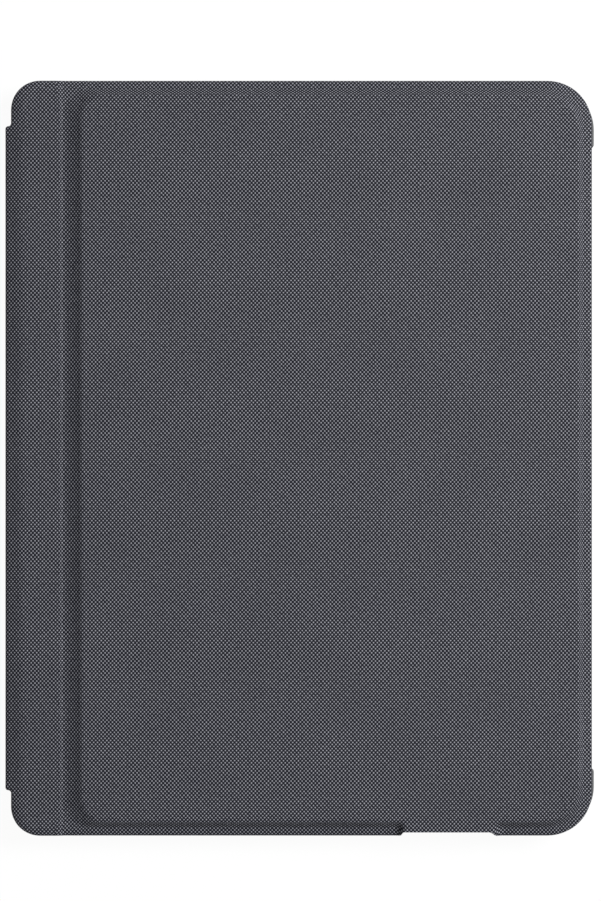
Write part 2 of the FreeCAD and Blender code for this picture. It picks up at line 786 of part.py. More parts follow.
x_membrane = x_keys - plate_margin
x_membrane_end = x_keys_end + plate_margin
y_membrane = y_keys + plate_margin
save("membrane", plate(x_membrane, x_membrane_end, y_membrane, z_membrane, z_back))
save("key_backplate", plate(x_membrane, x_membrane_end, y_membrane, z_back, z_roof))

# Key frame: the plate that surrounds every key and the trackpad
x_pad_centre = x_pad + pad_width / 2
pad_hole = rounded_block(x_pad_centre, 0, pad_width + 2 * pad_gap, pad_length + 2 * pad_gap,
                         z_cover, z_frame, pad_corner + pad_gap)
key_frame = plate(x_frame, x_frame_end, y_frame, z_cover, z_frame, frame_corner, frame_corner)
key_frame = key_frame.cut(Part.makeCompound(key_holes)).cut(pad_hole)
save("key_frame", key_frame.cut(Part.makeCompound(screw_holes)))

# Trackpad: glass and its board press together against leaf springs and a click switch
z_pad_board = z_frame + pad_seat
glass = rounded_block(x_pad_centre, 0, pad_width, pad_length, z_cover, z_pad_board, pad_corner)
save("trackpad_surface", glass)
z_pad_top = z_pad_board + pad_board_thickness
save("trackpad_board", plate(x_pad - pad_board_overhang, x_pad + pad_width + pad_board_overhang,
                             pad_board_reach, z_pad_board, z_pad_top))
z_stop = z_pad_top + pad_travel + pad_stop
springs = []
for x in (x_pad + spring_inset, x_pad + pad_width - spring_inset):
    leaf = box(x - spring_width / 2, x + spring_width / 2, -spring_length / 2, spring_length / 2,
               z_stop, z_stop + spring_leaf)
    for y in (-spring_length / 2, spring_length / 2 - spring_foot):
        leaf = leaf.fuse(box(x - spring_width / 2, x + spring_width / 2, y, y + spring_foot,
                             z_stop, z_roof))
    springs.append(leaf.removeSplitter())
save("trackpad_springs", *springs)
save("click_switch", plate(x_pad_centre - click_size / 2, x_pad_centre + click_size / 2, click_size / 2,
                           z_stop, z_roof))

# Palm rest: two cells, control board, flat cable and the magnets that hold the cover shut
y_board_end = y_socket_end + board_length
y_cell = pad_length / 2 + cell_gap
y_cell_end = -y_board_end - cell_board_gap
cells = []
for y0, y1 in ((-y_cell_end, -y_cell), (y_cell, y_cell_end)):
    cells.append(box(x_pad_centre - cell_width / 2, x_pad_centre + cell_width / 2, y0, y1,
                     z_roof - cell_thickness, z_roof))
save("battery_cells", *cells)

x_mainboard = x_socket - board_width / 2
z_board = z_roof - board_thickness
save("main_board", box(x_mainboard, x_mainboard + board_width, y_socket_end, y_board_end, z_board, z_roof))
y_cable = y_socket_end + (board_length - cable_width) / 2
save("flex_cable", box(x_membrane_end, x_mainboard + cable_lap, y_cable, y_cable + cable_width,
                       z_board - cable_thickness, z_board))
magnets = []
y_magnet_end = y_frame - magnet_end_gap
for y in (-y_magnet_end, -y_magnet_pad, y_magnet_pad, y_magnet_end):
    magnets.append(box(x_frame_end - magnet_width, x_frame_end, y - magnet_length / 2, y + magnet_length / 2,
                       z_roof - magnet_thickness, z_roof))
save("closure_magnets", *magnets)

pads = []
for x in (x_frame + screen_pad_inset, x_frame_end - screen_pad_inset):
    for y in (screen_pad_inset - y_frame, 0, y_frame - screen_pad_inset):
        pads.append(faceted_rod(x, y, z_cover - screen_pad_height, screen_pad_radius, screen_pad_height))
save("screen_pads", *pads)
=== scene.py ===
import bpy
import math
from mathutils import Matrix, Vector
from mathutils.geometry import interpolate_bezier, tessellate_polygon


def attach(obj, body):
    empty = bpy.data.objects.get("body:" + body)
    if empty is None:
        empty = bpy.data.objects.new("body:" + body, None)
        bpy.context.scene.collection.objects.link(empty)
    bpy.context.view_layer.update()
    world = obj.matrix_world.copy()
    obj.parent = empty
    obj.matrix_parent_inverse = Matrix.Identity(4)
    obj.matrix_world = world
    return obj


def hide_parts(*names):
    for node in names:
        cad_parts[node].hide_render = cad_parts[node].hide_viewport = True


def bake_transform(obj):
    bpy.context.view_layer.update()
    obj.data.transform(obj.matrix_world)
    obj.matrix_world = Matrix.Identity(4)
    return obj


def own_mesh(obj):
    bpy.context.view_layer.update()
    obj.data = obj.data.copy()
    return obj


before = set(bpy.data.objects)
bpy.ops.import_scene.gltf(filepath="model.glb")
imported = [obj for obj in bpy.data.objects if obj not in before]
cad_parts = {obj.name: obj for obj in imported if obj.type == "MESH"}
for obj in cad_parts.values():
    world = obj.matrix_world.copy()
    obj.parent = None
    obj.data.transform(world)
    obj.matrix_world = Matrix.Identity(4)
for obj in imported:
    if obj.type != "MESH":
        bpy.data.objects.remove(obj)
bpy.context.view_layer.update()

# Camera. The photograph looks straight down on the closed case with a long lens,
# the spine at the left of the picture and the notch at its lower edge.
view_height = 0.34606
view_x, view_y, view_z = 0.0003, 0.00296, 0.0138
lens_distance = 1.9
sensor_width = 24.0
camera_data = bpy.data.cameras.new("photo_camera")
camera_data.sensor_width = sensor_width
camera_data.lens = sensor_width * lens_distance / view_height
camera = bpy.data.objects.new("photo_camera", camera_data)
camera.location = (view_x, view_y, view_z + lens_distance)
bpy.context.scene.collection.objects.link(camera)
bpy.context.scene.camera = camera
bpy.context.scene.view_settings.view_transform = "Standard"


# Shader maths. One socket of a node tree, so that a material below reads as plain arithmetic,
# and helpers that open a material, close it with a surface and tell one kind of ray from another.
class Value:
    def __init__(self, tree, socket=None):
        self.tree = tree
        self.socket = socket

    def node(self, kind, settings, inputs, output=0):
        made = self.tree.nodes.new(kind)
        for name, value in settings.items():
            setattr(made, name, value)
        for name, value in inputs.items():
            if isinstance(value, Value):
                self.tree.links.new(value.socket, made.inputs[name])
            else:
                made.inputs[name].default_value = value
        return Value(self.tree, made.outputs[output])

    def math(self, operation, *others):
        inputs = {0: self}
        for place, other in enumerate(others):
            inputs[place + 1] = other
        return self.node("ShaderNodeMath", {"operation": operation}, inputs)

    def __add__(self, other):
        return self.math("ADD", other)

    def __mul__(self, other):
        return self.math("MULTIPLY", other)

    def __sub__(self, other):
        return self.math("SUBTRACT", other)

    def __rsub__(self, other):
        return self * -1.0 + other

    def __abs__(self):
        return self.math("ABSOLUTE")

    def sine(self):
        return self.math("SINE")

    def step(self, low, high):
        settings = {"interpolation_type": "SMOOTHSTEP"}
        return self.node("ShaderNodeMapRange", settings, {"Value": self, "From Min": low, "From Max": high})

    def mix(self, low, high):
        settings = {"data_type": "RGBA"}
        return self.node("ShaderNodeMix", settings, {"Factor": self, 6: low, 7: high}, 2)

    def noise(self, scale, detail):
        return self.node("ShaderNodeTexNoise", {}, {"Vector": self, "Scale": scale, "Detail": detail})

    def bump(self, distance, strength):
        return self.node("ShaderNodeBump", {}, {"Height": self, "Distance": distance, "Strength": strength})


def new_material(name):
    material = bpy.data.materials.new(name)
    material.use_nodes = True
    tree = material.node_tree
    tree.nodes.clear()
    return material, Value(tree)


def seen_rays(start):
    """1 for what the camera, a reflection or a clear piece looks at, 0 for light on its way to a surface."""
    camera_ray = start.node("ShaderNodeLightPath", {}, {})
    outputs = camera_ray.socket.node.outputs
    glossy_ray = Value(start.tree, outputs["Is Glossy Ray"])
    clear_ray = Value(start.tree, outputs["Is Transmission Ray"])
    return camera_ray.math("MAXIMUM", glossy_ray).math("MAXIMUM", clear_ray)


def surface(material, start, **inputs):
    shader = start.node("ShaderNodeBsdfPrincipled", {}, {k.replace("_", " "): v for k, v in inputs.items()})
    output = start.tree.nodes.new("ShaderNodeOutputMaterial")
    start.tree.links.new(shader.socket, output.inputs["Surface"])
    return material


# Studio. A white table top and a white room: the camera and reflections see both as white, and the
# table keeps a faint shadow of the case. The key light stands at the right and a little to the far side.
floor_half = 3.0
floor_level = -0.0002
table_grey = 0.45
table_glow = 1.06
glow_share = 0.90
room_light = 0.20
key_place = Vector((1.30, 0.55, 1.57))
key_size = 0.8
key_power = 61.0
white = (1.0, 1.0, 1.0, 1.0)
bpy.ops.mesh.primitive_plane_add(size=2.0 * floor_half, location=(0.0, 0.0, floor_level))
floor = bpy.context.object
floor.name = "table_top"
floor_look, start = new_material("table_white")
rays = seen_rays(start)
plain = start.node("ShaderNodeBsdfDiffuse", {}, {"Color": (table_grey, table_grey, table_grey, 1.0)})
glow = start.node("ShaderNodeEmission", {}, {"Color": white, "Strength": table_glow})
share = rays * glow_share
both = start.node("ShaderNodeMixShader", {}, {0: share, 1: plain, 2: glow})
output = start.tree.nodes.new("ShaderNodeOutputMaterial")
start.tree.links.new(both.socket, output.inputs["Surface"])
floor.data.materials.append(floor_look)

world = bpy.data.worlds.new("white_room")
bpy.context.scene.world = world
world.use_nodes = True
world.node_tree.nodes.clear()
start = Value(world.node_tree)
rays = seen_rays(start)
room = start.node("ShaderNodeBackground", {}, {"Color": white, "Strength": room_light})
seen = start.node("ShaderNodeBackground", {}, {"Color": white, "Strength": 1.0})
both = start.node("ShaderNodeMixShader", {}, {0: rays, 1: room, 2: seen})
output = world.node_tree.nodes.new("ShaderNodeOutputWorld")
world.node_tree.links.new(both.socket, output.inputs["Surface"])

lamp_data = bpy.data.lights.new("key_light", "AREA")
lamp_data.size = key_size
lamp_data.energy = key_power
lamp = bpy.data.objects.new("key_light", lamp_data)
lamp.location = key_place
lamp.rotation_euler = (-key_place).to_track_quat("-Z", "Y").to_euler()
bpy.context.scene.collection.objects.link(lamp)


# Woven cover fabric: charcoal plain weave of two-tone yarn, 0.72 mm by 0.78 mm to the yarn,
# seen in the photograph as light and dark dots that alternate like a chequerboard.
warp_pitch = 0.00072
weft_pitch = 0.00078


def woven(name, dark, light):
    material, start = new_material(name)
    place = start.node("ShaderNodeUVMap", {"uv_map": "weave"}, {})
    wander = place.noise(260.0, 3.0)
    split = place.node("ShaderNodeSeparateXYZ", {}, {"Vector": place})
    across = split * (math.pi / warp_pitch) + wander * 1.1
    along = Value(start.tree, split.socket.node.outputs[1]) * (math.pi / weft_pitch) + wander * 1.1
    crossing = across.sine() * along.sine()
    grain = place.noise(2400.0, 2.0)
    yarn = place.noise(900.0, 2.0)
    cloud = place.noise(35.0, 2.0)
    lift = crossing + (grain - 0.5) * 0.8 + (yarn - 0.5) * 0.9
    gap_relief_and_shade = abs(crossing).math("POWER", 0.5)
    # Painted shade: the colour is darkened in the gaps between the yarns, where shade falls, as well as bumped
    # there.
    tone = lift.step(-0.40, 1.0).math("POWER", 1.4) * (gap_relief_and_shade * 0.9 + 0.1) * (cloud * 0.3 + 0.85)
    colour = tone.mix(dark, light)
    height = gap_relief_and_shade + grain * 0.35
    return surface(material, start, Base_Color=colour, Roughness=0.55 - tone * 0.1,
                   Normal=height.bump(0.0001, 0.8), Specular_IOR_Level=0.10)


cover_cloth = woven("charcoal_weave", (0.0034, 0.0037, 0.0080, 1.0), (0.334, 0.340, 0.376, 1.0))


# Keyboard cover's outer fabric: one piece of the weave pressed over the raised keyboard panel,
# down its bevels, out over the flat rim and round the edge, and bonded to the tray beneath.
panel_top = 0.0174
rim_top = 0.0144
hem_bottom = 0.01265
cover_half = 0.1450
cover_right = 0.1122
cover_radius = 0.0170
notch_line = -0.1435
cloth_thickness = 0.0007
corner_steps = 16
half_corner = corner_steps // 2


def outline(x_low, x_high, y_half, left_radius, right_radius, stations):
    """Points round a rectangle with round corners, each with the way that points out of it."""
    corners = [(x_low + left_radius, left_radius - y_half, left_radius, 180.0),
               (x_high - right_radius, right_radius - y_half, right_radius, 270.0),
               (x_high - right_radius, y_half - right_radius, right_radius, 0.0),
               (x_low + left_radius, y_half - left_radius, left_radius, 90.0)]
    points = []
    for number, (x, y, radius, first) in enumerate(corners):
        for part in range(corner_steps + 1):
            angle = math.radians(first + 90.0 * part / corner_steps)
            out = Vector((math.cos(angle), math.sin(angle), 0.0))
            points.append((Vector((x, y, 0.0)) + out * radius, out))
        if number == 0:
            points += [(Vector((station, -y_half, 0.0)), Vector((0.0, -1.0, 0.0))) for station in stations]
    return points


def smooth(low, high, value):
    """Soft step from 0 at low to 1 at high."""
    part = min(max((value - low) / (high - low), 0.0), 1.0)
    return part * part * (3.0 - 2.0 * part)


def only(made):
    """Make one piece the selected and active one."""
    bpy.ops.object.select_all(action="DESELECT")
    bpy.context.view_layer.objects.active = made
    made.select_set(True)


def crisp(made, degrees):
    """Smooth shading, with edges sharper than an angle kept."""
    only(made)
    bpy.ops.object.shade_smooth_by_angle(angle=math.radians(degrees))


def soften(made, width, segments, edges=None):
    """Round a piece's edges, all of them or those given."""
    if edges is not None:
        layer = made.data.attributes.new("bevel_weight_edge", "FLOAT", "EDGE")
        for edge in edges:
            layer.data[edge.index].value = 1.0
    only(made)
    rounding = made.modifiers.new("rounding", "BEVEL")
    rounding.width = width
    rounding.segments = segments
    rounding.limit_method = "ANGLE" if edges is None else "WEIGHT"
    bpy.ops.object.modifier_apply(modifier=rounding.name)


def thicken(made, thickness):
    """Give a sheet its thickness on the side away from view."""
    only(made)
    wall = made.modifiers.new("thickness", "SOLIDIFY")
    wall.thickness = thickness
    wall.offset = -1.0
    bpy.ops.object.modifier_apply(modifier=wall.name)
    crisp(made, 38.0)


def ring_faces(first, turn, rings, flip=False):
    """Faces between closed rings of points that follow each other."""
    faces = []
    for low in range(first, first + (rings - 1) * turn, turn):
        for spot in range(turn):
            after = (spot + 1) % turn
            face = (low + spot, low + turn + spot, low + turn + after, low + after)
            faces.append((face[0], face[3], face[2], face[1]) if flip else face)
    return faces


def grid_faces(columns, rows):
    """Faces of a sheet whose points come column by column."""
    starts = [column * rows + row for column in range(columns - 1) for row in range(rows - 1)]
    return [(start, start + rows, start + rows + 1, start + 1) for start in starts]


def make_mesh(name, points, faces, look, places=None):
    """New piece; places are its points on the flat cloth, or else straight below them."""
    mesh = bpy.data.meshes.new(name)
    mesh.from_pydata(points, [], faces)
    layer = mesh.uv_layers.new(name="weave")
    for loop in mesh.loops:
        layer.data[loop.index].uv = places[loop.vertex_index] if places else points[loop.vertex_index][:2]
    mesh.materials.append(look)
    mesh.shade_smooth()
    made = bpy.data.objects.new(name, mesh)
    bpy.context.scene.collection.objects.link(made)
    return made


def flat_places(rings, outward):
    """Where each point lies on the cloth before it is pressed over the edges, ring by ring."""
    spots = [point.copy() for point in rings[0]]
    places = [(spot.x, spot.y) for spot in spots]
    for before, ring in zip(rings, rings[1:]):
        for number, (a, b) in enumerate(zip(before, ring)):
            shift = b - a
            out = outward[number]
            side = Vector((-out.y, out.x, 0.0))
            reach = math.hypot(shift.dot(out), shift.z)
            spots[number] += side * shift.dot(side) + out * (reach if shift.dot(out) > -0.00002 else -reach)
            places.append((spots[number].x, spots[number].y))
    return places


def rim_fall(inset):
    """How far the rim's soft edge has fallen at a distance in from the cover's outline."""
    steps = ((0.0029, 0.0), (0.0020, 0.00022), (0.0011, 0.00049), (0.0007, 0.00065), (0.00045, 0.00082),
             (0.00025, 0.0010), (0.00005, 0.0013), (0.0, 0.0016))
    for (far, low), (near, high) in zip(steps, steps[1:]):
        if inset >= near:
            return low + (high - low) * min((far - inset) / (far - near), 1.0) if inset < far else low
    return high


def ridge_height(x):
    """Level of the cloth where it climbs from the groove to the strip."""
    return rim_top + 0.0010 * smooth(-0.0911, -0.0923, x)


port_stations = [0.0360, 0.0373, 0.0381, 0.0389, 0.0394, 0.0399, 0.0405, 0.0415, 0.0573, 0.0720, 0.0729,
                 0.0738, 0.0746, 0.0752, 0.0757, 0.0765, 0.0775, 0.0790]
inner = outline(-0.0836, 0.1065, 0.1383, 0.0080, 0.0135, port_stations)
base = outline(-0.0904, 0.1092, 0.1421, 0.0090, 0.0145, port_stations)
outward = [out for point, out in inner]
count = len(inner)
rings = []
# The bevel, from the panel's crown to its foot: straight flanks, and a long hollow sweep at the groove.
for part in (-0.7, -0.4, -0.2, -0.08, 0.04, 0.16, 0.32, 0.5, 0.68, 0.84, 0.96, 1.06):
    steep = (part - 0.3) / 0.6
    drop = 0.5 * (1.0 + math.hypot(steep, 0.12) - math.hypot(1.0 - steep, 0.12))
    sweep = smooth(-0.12, 0.16, part) * (1.0 - max(1.0 - max(part, 0.0), 0.0) ** 1.5)
    ring = [a.lerp(b, part) for (a, out), (b, way) in zip(inner, base)]
    for point, (start_at, out) in zip(ring, inner):
        leftward = smooth(-0.0756, -0.0830, start_at.x)
        point.z = panel_top - (panel_top - rim_top) * (drop + (sweep - drop) * leftward)
    rings.append(ring)
# The rim, from the bevel's foot to the hem. At the left each ring runs straight along the groove.
left_legs = (0.1331, 0.1370, 0.1402, 0.1424, 0.1439, 0.1444, 0.14475, 0.14495, 0.1450)
leg_spread = 0.00003
groove_end = -0.0814
rim_steps = ((-0.0912, 0.0020), (-0.0915, 0.0011), (-0.0918, 0.0006), (-0.0922, 0.00025), (-0.0926, 0.00005),
             (-0.0931, 0.0), (-0.0936, 0.0))
for step, (left, inset) in enumerate(rim_steps):
    edge = cover_half - inset
    hem = step == len(rim_steps) - 1
    ring = [point for point, out in outline(-0.0922, cover_right - inset, edge, 0.0009, cover_radius - inset,
                                            port_stations)]
    for number in range(corner_steps + 1):
        if number <= half_corner:
            x = left
            y = min(left_legs[number], edge - (half_corner - number) * leg_spread)
        else:
            x = left + (groove_end - left) * (number - half_corner) / half_corner
            y = edge
        ring[number] = Vector((x, -y, 0.0))
        ring[count - 1 - number] = Vector((x, y, 0.0))
    for spot, point in enumerate(ring):
        leg = min(spot, count - 1 - spot) <= half_corner
        flatter = 1.0 - 0.65 * smooth(0.3, 0.95, outward[spot].x)
        point.z = ridge_height(point.x) - rim_fall(cover_half - abs(point.y) if leg else inset) * flatter
        if hem and (not leg or abs(point.y) > cover_half - 0.00001):
            point.z = hem_bottom
    rings.append(ring)
# The port block: the panel runs out level to the notch and its cloth turns down over the block's edge.
notch_steps = ((0.0003, 0.0), (0.00012, 0.00002), (0.00004, 0.00007), (0.0, 0.0002), (0.0, 0.0005),
               (0.0, 0.00068))
for number, ring in enumerate(rings):
    edge_in, edge_drop = notch_steps[max(number - len(rings) + len(notch_steps), 0)]
    for point in ring:
        if point.y < -0.1375 and 0.030 < point.x < 0.085:
            block = smooth(0.0373, 0.0405, point.x) * (1.0 - smooth(0.0738, 0.0775, point.x))
            notch = smooth(0.0386, 0.0399, point.x) * (1.0 - smooth(0.0729, 0.0757, point.x))
            point.z = point.z + (panel_top - edge_drop - point.z) * block
            point.y = point.y + (max(point.y, notch_line + edge_in) - point.y) * notch
points = [tuple(point) for ring in rings for point in ring]
places = flat_places(rings, outward)
cloth_left = places[-count][0]
faces = [tuple(range(count))] + ring_faces(0, count, len(rings))
front = make_mesh("front_fabric", points, faces, cover_cloth, places)
thicken(front, cloth_thickness)
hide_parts("deck_fabric")
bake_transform(front)


# Hinge strip's outer fabric: the same cloth carried over the stiff strip beside the groove, down
# the softly curved folded edge at the left and over the upper half of the spine.
strip_top = 0.0154
ridge = -0.0936
spine_face = -0.1131
spine_seam = 0.0087
spine_half = 0.1265
spine_straight = 0.1220
spine_round = 0.0011
fold_start = -0.1064
fold_slope = 0.34
end_start = 0.1300
soft = 0.0020
rows = 13


def fold_drop(x):
    """How far the cloth has fallen on its way to the folded edge: a soft start, a slope, a steeper end."""
    inside = max(fold_start - x, 0.0)
    return fold_slope * (math.hypot(inside, 0.0008) - 0.0008) + max(inside - 0.0045, 0.0) ** 2 / 0.0100


def round_corner(x, y, radius, first, last, steps, hollow=False):
    """Points along an arc, each with the way that points out of the cloth there."""
    made = []
    for part in range(steps + 1):
        angle = math.radians(first + (last - first) * part / steps)
        out = Vector((math.cos(angle), math.sin(angle), 0.0))
        made.append((Vector((x, y, 0.0)) + out * radius, -out if hollow else out))
    return made


leftward_way = Vector((-1.0, 0.0, 0.0))
half_edge = [(Vector((spine_face, y, 0.0)), leftward_way) for y in (0.0, 0.0425, 0.0850, spine_straight)]
half_edge += round_corner(spine_face + spine_round, spine_half, spine_round, 180.0, 90.0, 8)
spine_columns = len(half_edge)
half_edge += round_corner(spine_face + spine_round, spine_half + 2.0 * spine_round, spine_round, 270.0, 360.0, 8,
                          hollow=True)[1:]
half_edge += round_corner(-0.0997, 0.1338, 0.0112, 180.0, 90.0, 16)
mirrored = [(Vector((a.x, -a.y, 0.0)), Vector((b.x, -b.y, 0.0))) for a, b in half_edge[:0:-1]]
left_edge = mirrored + half_edge
columns = len(left_edge)
points = []
places = []


def edge_inset(y):
    """How far in from the outline the cloth starts to roll over its edge."""
    return soft if abs(y) > end_start else 0.0016 if abs(y) < spine_straight + 0.0001 else 0.0009


for spot, out in left_edge:
    start_at = spot - out * edge_inset(spot.y)
    flat = 0.0
    for row in range(rows):
        x = ridge + (start_at.x - ridge) * row / (rows - 1)
        point = Vector((x, start_at.y, strip_top - fold_drop(x) - rim_fall(cover_half - abs(start_at.y))))
        if row:
            flat += (point - points[-1]).length
        points.append(point)
        places.append((cloth_left - flat, start_at.y))
faces = grid_faces(columns, rows)
# The edge all round the sheet: the spine's face, the short edge beside it, and the ends with their corners.
rim = [((columns - 1) * rows + row, Vector((0.0, 1.0, 0.0)), "end", soft) for row in range(rows - 1)]
for column in range(columns - 1, -1, -1):
    middle = abs(column - len(mirrored)) < spine_columns
    spot, out = left_edge[column]
    kind = "spine" if middle else "end" if abs(spot.y) > end_start else "edge"
    rim.append((column * rows + rows - 1, out, kind, edge_inset(spot.y)))
rim += [(row, Vector((0.0, -1.0, 0.0)), "end", soft) for row in range(rows - 2, -1, -1)]
before = [spot for spot, out, kind, start_inset in rim]
roll_steps = ((0.0011, 0.74), (0.0006, 0.50), (0.00025, 0.30), (0.00005, 0.12), (0.0, 0.0), (0.0, 0.0))
for step, (inset, share) in enumerate(roll_steps):
    ring = []
    for (spot, out, kind, start_inset), last in zip(rim, before):
        point = points[spot] + out * (start_inset - min(inset, start_inset))
        point.z = points[spot].z - (rim_fall(inset) - rim_fall(start_inset))
        if kind == "spine":
            gone = 1.0 - share
            point = points[spot] + out * start_inset * gone
            point.z -= start_inset * (0.80 * (1.0 - math.sqrt(1.0 - gone ** 2)) + 0.11 * gone)
        if step == len(roll_steps) - 1:
            point.z = spine_seam if kind == "spine" else hem_bottom
        elif step == 0 and kind == "edge":
            point = points[spot] + out * 0.00002
        run = (point - points[last]).length
        way = Vector((out.x, out.y)).normalized() * run
        ring.append(len(points))
        points.append(point)
        places.append((places[last][0] + way.x, places[last][1] + way.y))
    for number in range(len(rim) - 1):
        faces.append((before[number], ring[number], ring[number + 1], before[number + 1]))
    before = ring
cloth_seam = min(place[0] for place in places)
strip = make_mesh("strip_cloth", points, faces, cover_cloth, places)
thicken(strip, cloth_thickness)
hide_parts("strip_fabric")
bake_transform(strip)


# Spine's lower fabric and anchor flap: the cloth runs on down the spine, round its lower edge and
# under the shell, where it is bonded to the shell's back as far as the kickstand's free edge.
flap_thickness = 0.0006
flap_turn = 0.0030
column_gap = 0.0005
points = []
places = []
edge_points = left_edge[len(mirrored) - spine_columns + 1:len(mirrored) + spine_columns]
profile = [(0.0, spine_seam), (0.0, 0.0062), (0.0, 0.0040), (0.0, 0.0030), (0.0, 0.0021), (0.00015, 0.0015),
           (0.00045, 0.00108), (0.0009, 0.00076), (0.0016, 0.0006), (0.0030, 0.00031), (0.0045, 0.0001),
           (0.0065, 0.0), (0.0150, 0.0), (0.0291, 0.0)]
for column, (spot, out) in enumerate(edge_points):
    flat = 0.0
    from_end = min(column, len(edge_points) - 1 - column)
    flat_y = math.copysign(min(abs(spot.y), spine_half - column_gap * from_end), spot.y)
    for number, (inward, height) in enumerate(profile):
        level = min(inward / flap_turn, 1.0)
        y = spot.y + (flat_y - spot.y) * level
        point = Vector((spot.x + (spine_face - spot.x) * level + inward, y, height))
        if number:
            flat += (point - points[-1]).length
        points.append(point)
        places.append((cloth_seam - flat, y))
faces = grid_faces(len(edge_points), len(profile))
wrap = make_mesh("spine_cloth", points, faces, cover_cloth, places)
thicken(wrap, flap_thickness)
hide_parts("spine_fabric", "anchor_flap_fabric")
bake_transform(wrap)


# Bumper: one soft grey moulding round the tablet, a wall with a lip over the tablet's edge. It is
# open along the right side, where a low sill runs between two rounded ends.
def shaded(colour, share):
    """A colour made lighter or darker, as a socket takes it."""
    return tuple(part * share for part in colour) + (1.0,)


def moulded(name, colour, rough, grain, depth, **more):
    """Plain moulded surface: fine grain in the finish, faint cloudiness in the colour."""
    material, start = new_material(name)
    place = start.node("ShaderNodeTexCoord", {}, {}, 3)
    fine = place.noise(grain, 3.0)
    cloud = place.noise(60.0, 3.0)
    shade = cloud.mix(shaded(colour, 0.88), shaded(colour, 1.1))
    return surface(material, start, Base_Color=shade, Roughness=fine * 0.2 + (rough - 0.1),
                   Normal=fine.bump(depth, 0.6), Specular_IOR_Level=0.22, **more)


bumper_look = moulded("grey_bumper_rubber", (0.080, 0.081, 0.085), 0.62, 5200.0, 0.00002)
end_round = 0.0014
lip_top = 0.0122
wall_middle = 0.1419
wall_reach = 0.0046
window_level = 0.0080
# The wall's section, in millimetres: how far in from the outside, and how high.
section = [(1.6, 0.7), (0.9, 0.86), (0.35, 1.3), (0.06, 2.0), (0.0, 3.0), (0.0, 11.1), (0.07, 11.6), (0.3, 12.0),
           (0.75, 12.2), (3.6, 12.2), (3.88, 12.06), (4.0, 11.7), (3.88, 11.34), (3.6, 11.2), (2.85, 11.16),
           (2.8, 11.0), (2.8, 0.75), (2.7, 0.7)]
path = []
for away in (0.0, 0.0002, 0.0005, 0.0009, end_round, 0.0035):
    path.append((Vector((0.1131, 0.1193 + away, 0.0)), Vector((1.0, 0.0, 0.0)), away))
path += [(spot, out, 1.0) for spot, out in round_corner(0.0961, 0.1263, 0.0170, 0.0, 90.0, 16)]
path += [(spot, out, 1.0) for spot, out in round_corner(-0.0908, 0.1263, 0.0170, 90.0, 180.0, 16)]
path += [(Vector((a.x, -a.y, 0.0)), Vector((b.x, -b.y, 0.0)), c) for a, b, c in path[::-1]]
points = []
for spot, out, away in path:
    short = max(end_round - away, 0.0)
    drawn = end_round - math.sqrt(end_round ** 2 - short ** 2)
    for inward, height in section:
        deep = max(inward / 1000.0, drawn * 0.75)
        high = min(height / 1000.0, lip_top - drawn * 0.5)
        points.append(spot - out * deep + Vector((0.0, 0.0, high)))
turn = len(section)
faces = [tuple(range(turn - 1, -1, -1)), tuple(range(len(points) - turn, len(points)))]
faces += ring_faces(0, turn, len(path))
bumper = make_mesh("bumper_moulding", points, faces, bumper_look)
bpy.ops.mesh.primitive_cube_add(size=1.0)
sill = bpy.context.object
for vertex in sill.data.vertices:
    vertex.co = (0.1110 + vertex.co.x * 0.0014, vertex.co.y * 0.2396, 0.0025 + vertex.co.z * 0.0036)
soften(sill, 0.0004, 3)
sill.data.materials.append(bumper_look)
windows = [(0.00265, -wall_middle, 0.0080, 0.0025), (-0.07235, -wall_middle, 0.0120, 0.0015),
           (0.07765, -wall_middle, 0.0120, 0.0015), (-0.07235, wall_middle, 0.0120, 0.0015),
           (0.0853, wall_middle, 0.0110, 0.0018)]
for x, y, half_width, half_height in windows:
    bpy.ops.mesh.primitive_cube_add(size=1.0)
    cutter = bpy.context.object
    corners = cutter.data.vertices
    for corner in corners:
        corner.co = (x + corner.co.x * 2.0 * half_width, y + corner.co.y * wall_reach,
                     window_level + corner.co.z * 2.0 * half_height)
    upright = [edge for edge in cutter.data.edges
               if abs(corners[edge.vertices[0]].co.y - corners[edge.vertices[1]].co.y) > wall_reach / 2.0]
    soften(cutter, half_height * 0.85, 5, upright)
    only(bumper)
    cut = bumper.modifiers.new("window", "BOOLEAN")
    cut.object = cutter
    cut.solver = "EXACT"
    bpy.ops.object.modifier_apply(modifier=cut.name)
    bpy.data.objects.remove(cutter)
only(bumper)
sill.select_set(True)
bpy.ops.object.join()
crisp(bumper, 40.0)
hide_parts("bumper_frame")
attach(bumper, "shell")


# Back of the shell: woven fabric bonded to the upper back, cut round the camera window, and the
# same fabric on the outside of the kickstand, cut back round the thumb notch in its free edge.
def flat_sheet(name, loops, low, high, look):
    """Flat cut cloth with soft edges, from closed rows of points and their holes."""
    edge = 0.00012
    curve = bpy.data.curves.new(name, "CURVE")
    curve.dimensions = "2D"
    curve.fill_mode = "BOTH"
    curve.extrude = (high - low) / 2.0 - edge
    curve.bevel_depth = edge
    curve.bevel_resolution = 2
    curve.offset = -edge
    for loop in loops:
        spline = curve.splines.new("POLY")
        spline.points.add(len(loop) - 1)
        spline.use_cyclic_u = True
        for point, spot in zip(spline.points, loop):
            point.co = (spot[0], spot[1], 0.0, 1.0)
    made = bpy.data.objects.new(name, curve)
    bpy.context.scene.collection.objects.link(made)
    only(made)
    bpy.ops.object.convert(target="MESH")
    made = bpy.context.object
    layer = made.data.uv_layers.new(name="weave")
    for vertex in made.data.vertices:
        vertex.co.z += (low + high) / 2.0
    for loop in made.data.loops:
        vertex = made.data.vertices[loop.vertex_index]
        layer.data[loop.index].uv = (vertex.co.x, vertex.co.y)
    made.data.materials.clear()
    made.data.materials.append(look)
    crisp(made, 40.0)
    return made


